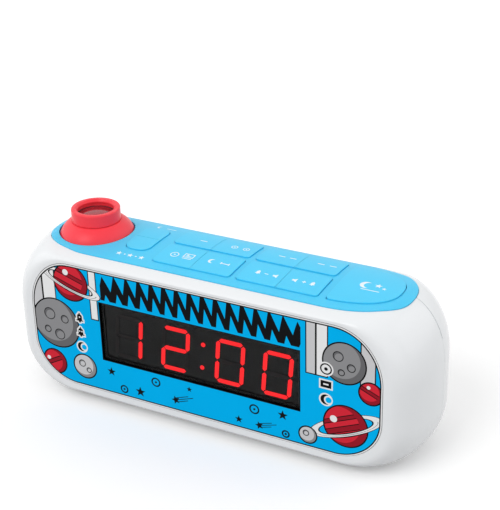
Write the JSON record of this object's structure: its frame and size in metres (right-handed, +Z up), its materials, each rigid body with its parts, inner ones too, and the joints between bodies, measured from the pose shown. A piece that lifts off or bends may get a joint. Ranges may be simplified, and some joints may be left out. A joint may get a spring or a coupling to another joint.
{
  "type": "projection alarm clock",
  "caption": "Rounded desk alarm clock with a printed front, a red LED display, soft top keys, a star projector with a focus ring, a speaker and a hinged battery door.",
  "frame": {"origin": "on the surface that the feet stand on, under the middle of the case", "axes": "+X along the clock's length to its right seen from the front, +Y towards the back, +Z up"},
  "size_m": [0.224, 0.064, 0.0959],
  "materials": {
    "case_white": "moulded satin gloss",
    "deck_blue": "moulded satin gloss",
    "key_blue": "moulded satin with printed marks",
    "lamp_red": "moulded gloss",
    "panel_print": "printed film",
    "window_tint": "smoked clear gloss",
    "led_red": "glowing diffuser",
    "segment_dark": "unlit diffuser",
    "display_black": "moulded matt",
    "board_green": "solder mask",
    "part_black": "moulded matt",
    "cable_grey": "flexible sheath",
    "screw_steel": "zinc plated",
    "contact_steel": "nickel plated",
    "magnet_grey": "pressed ferrite",
    "speaker_paper": "pressed paper",
    "ferrite": "sintered",
    "coil_copper": "lacquered wire",
    "lens_clear": "polished",
    "lens_red": "polished tinted",
    "slide_film": "printed film",
    "foot_rubber": "moulded"
  },
  "bodies": {
    "case": {"front_housing": "case_white", "rear_cover": "case_white", "front_panel": "panel_print", "display_window": "window_tint", "display_module": "display_black", "digits_lit": "led_red", "digits_dark": "segment_dark", "main_board": "board_green", "main_components": "part_black", "indicator_leds": "led_red", "main_board_screws": "screw_steel", "key_board": "board_green", "key_board_screws": "screw_steel", "tact_switches": "part_black", "key_ribbon": "cable_grey", "top_deck": "deck_blue", "projector_base": "lamp_red", "projector_tube": "part_black", "pattern_slide": "slide_film", "condenser_lens": "lens_clear", "lamp_board": "board_green", "projector_led": "lens_clear", "lamp_lead": "cable_grey", "speaker_frame": "part_black", "speaker_cone": "speaker_paper", "speaker_magnet": "magnet_grey", "speaker_lead": "cable_grey", "ferrite_rod": "ferrite", "aerial_coil": "coil_copper", "dc_jack": "part_black", "aux_jack": "part_black", "jack_board": "board_green", "battery_springs": "contact_steel", "battery_plates": "contact_steel", "case_screws": "screw_steel", "feet": "foot_rubber"},
    "focus_ring": {"focus_ring": "lamp_red"},
    "lens_carrier": {"lens_barrel": "part_black", "projection_lens": "lens_red"},
    "battery_door": {"battery_door": "case_white"},
    "source_key": {"source_key": "key_blue"},
    "sleep_key": {"sleep_key": "key_blue"},
    "alarm_one_key": {"alarm_one_key": "key_blue"},
    "alarm_two_key": {"alarm_two_key": "key_blue"},
    "mode_key": {"mode_key": "key_blue"},
    "time_key": {"time_key": "key_blue"},
    "hour_key": {"hour_key": "key_blue"},
    "minute_key": {"minute_key": "key_blue"},
    "projection_key": {"projection_key": "key_blue"},
    "nap_key": {"nap_key": "key_blue"},
    "snooze_key": {"snooze_key": "key_blue"}
  },
  "joints": [
    {"name": "source_press", "type": "slide", "parent": "case", "child": "source_key", "axis": [0, 0, -1], "range_m": [0, 0.0006], "stiffness_N_per_m": 1500, "springref_m": -0.0004},
    {"name": "sleep_press", "type": "slide", "parent": "case", "child": "sleep_key", "axis": [0, 0, -1], "range_m": [0, 0.0006], "stiffness_N_per_m": 1500, "springref_m": -0.0004},
    {"name": "alarm_one_press", "type": "slide", "parent": "case", "child": "alarm_one_key", "axis": [0, 0, -1], "range_m": [0, 0.0006], "stiffness_N_per_m": 1500, "springref_m": -0.0004},
    {"name": "alarm_two_press", "type": "slide", "parent": "case", "child": "alarm_two_key", "axis": [0, 0, -1], "range_m": [0, 0.0006], "stiffness_N_per_m": 1500, "springref_m": -0.0004},
    {"name": "mode_press", "type": "slide", "parent": "case", "child": "mode_key", "axis": [0, 0, -1], "range_m": [0, 0.0006], "stiffness_N_per_m": 1500, "springref_m": -0.0004},
    {"name": "time_press", "type": "slide", "parent": "case", "child": "time_key", "axis": [0, 0, -1], "range_m": [0, 0.0006], "stiffness_N_per_m": 1500, "springref_m": -0.0004},
    {"name": "hour_press", "type": "slide", "parent": "case", "child": "hour_key", "axis": [0, 0, -1], "range_m": [0, 0.0006], "stiffness_N_per_m": 1500, "springref_m": -0.0004},
    {"name": "minute_press", "type": "slide", "parent": "case", "child": "minute_key", "axis": [0, 0, -1], "range_m": [0, 0.0006], "stiffness_N_per_m": 1500, "springref_m": -0.0004},
    {"name": "projection_press", "type": "slide", "parent": "case", "child": "projection_key", "axis": [0, 0, -1], "range_m": [0, 0.0006], "stiffness_N_per_m": 1500, "springref_m": -0.0004},
    {"name": "nap_press", "type": "slide", "parent": "case", "child": "nap_key", "axis": [0, 0, -1], "range_m": [0, 0.0006], "stiffness_N_per_m": 1500, "springref_m": -0.0004},
    {"name": "snooze_press", "type": "slide", "parent": "case", "child": "snooze_key", "axis": [0, 0, -1], "range_m": [0, 0.0006], "stiffness_N_per_m": 1500, "springref_m": -0.0004},
    {"name": "focus_turn", "type": "hinge", "parent": "case", "child": "focus_ring", "pos_m": [-0.0745, -0.0001, 0.09], "axis": [0, 0, 1], "range_deg": [0, 120]},
    {"name": "lens_travel", "type": "slide", "parent": "case", "child": "lens_carrier", "axis": [0, 0, 1], "range_m": [0, 0.0012]},
    {"name": "door_hinge", "type": "hinge", "parent": "case", "child": "battery_door", "pos_m": [0, 0.031, 0.021], "axis": [-1, 0, 0], "range_deg": [0, 90]}
  ],
  "couplings": [
    {"joint": "focus_turn", "follows": "lens_travel", "rad_per_m": 1745.3}
  ]
}
